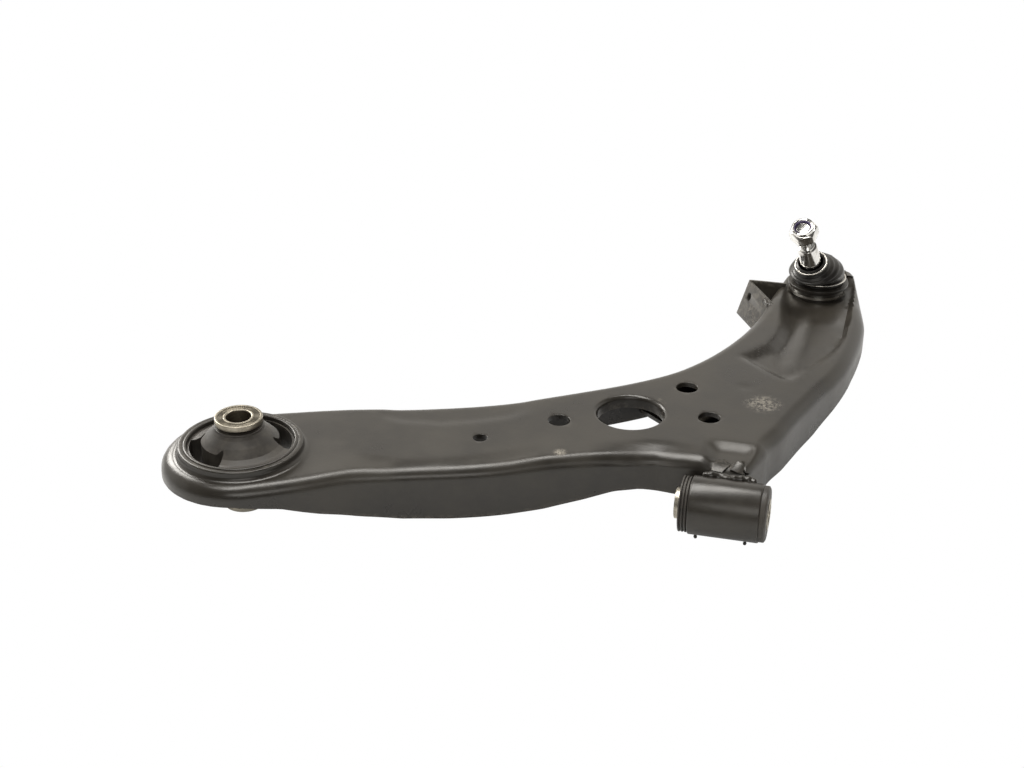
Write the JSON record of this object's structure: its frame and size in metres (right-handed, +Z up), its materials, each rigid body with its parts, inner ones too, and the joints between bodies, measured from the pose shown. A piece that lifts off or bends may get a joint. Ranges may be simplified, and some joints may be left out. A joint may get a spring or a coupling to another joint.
{
  "type": "suspension control arm",
  "caption": "Stamped lower control arm with a vertical rear bush, a horizontal front bush and a ball joint with its stud, boot and lock nut.",
  "frame": {"origin": "centre of the front bush, on its bore axis, half way along its tube", "axes": "+X along the front bush bore, away from the rear bush; +Z up along the rear bush bore; +Y towards the ball joint"},
  "size_m": [0.3814, 0.4277, 0.0949],
  "materials": {
    "e_coat": "black electro-coat over pressed steel, satin gloss",
    "bush_rubber": "moulded black-brown rubber",
    "boot_rubber": "smooth black rubber",
    "phosphated_steel": "bare machined steel, lightly phosphated",
    "bright_zinc": "bright zinc plate",
    "ring_wire": "drawn spring wire",
    "seat_polymer": "natural acetal",
    "nylon": "dyed nylon"
  },
  "bodies": {
    "arm": {"arm_pressing": "e_coat", "lower_reinforcement": "e_coat", "rear_bush_can": "e_coat", "rear_bush_rubber": "bush_rubber", "front_bush_tube": "e_coat", "front_bush_outer_sleeve": "phosphated_steel", "front_bush_rubber": "bush_rubber", "front_tube_weld": "e_coat", "ball_joint_housing": "e_coat", "ball_seat": "seat_polymer", "seat_preload_ring": "boot_rubber", "ball_joint_cover": "phosphated_steel", "housing_snap_ring": "ring_wire", "boot_bottom_ring": "ring_wire", "bracket": "e_coat", "bracket_weld": "e_coat"},
    "front_sleeve": {"front_inner_sleeve": "phosphated_steel"},
    "rear_sleeve": {"rear_inner_sleeve": "phosphated_steel"},
    "boot": {"dust_boot": "boot_rubber"},
    "boot_ring": {"boot_top_ring": "ring_wire"},
    "stud": {"ball_stud": "bright_zinc"},
    "nut": {"lock_nut": "bright_zinc", "nut_nylon_insert": "nylon"}
  },
  "joints": [
    {"name": "front_sleeve_twist", "type": "hinge", "parent": "arm", "child": "front_sleeve", "pos_m": [0, 0, 0], "axis": [1, 0, 0], "range_deg": [-22, 22], "stiffness_Nm_per_rad": 20, "deforming": ["front_bush_rubber"]},
    {"name": "rear_sleeve_tilt", "type": "hinge", "parent": "arm", "child": "rear_sleeve", "pos_m": [-0.276, -0.036, 0.011], "axis": [1, 0, 0], "range_deg": [-10, 10], "stiffness_Nm_per_rad": 40, "deforming": ["rear_bush_rubber"]},
    {"name": "stud_heading", "type": "hinge", "parent": "arm", "child": "boot", "pos_m": [0.023, 0.281, 0.013], "axis": [0, 0, 1], "continuous": true},
    {"name": "stud_swing", "type": "hinge", "parent": "boot", "child": "boot_ring", "pos_m": [0.023, 0.281, 0.013], "axis": [0.9336, -0.3584, 0], "range_deg": [-60, 2], "deforming": ["dust_boot"]},
    {"name": "stud_spin", "type": "hinge", "parent": "boot_ring", "child": "stud", "pos_m": [0.023, 0.281, 0.013], "axis": [-0.1737, -0.4526, 0.8746], "continuous": true},
    {"name": "nut_spin", "type": "hinge", "parent": "stud", "child": "nut", "pos_m": [0.023, 0.281, 0.013], "axis": [-0.1737, -0.4526, 0.8746], "continuous": true}
  ]
}
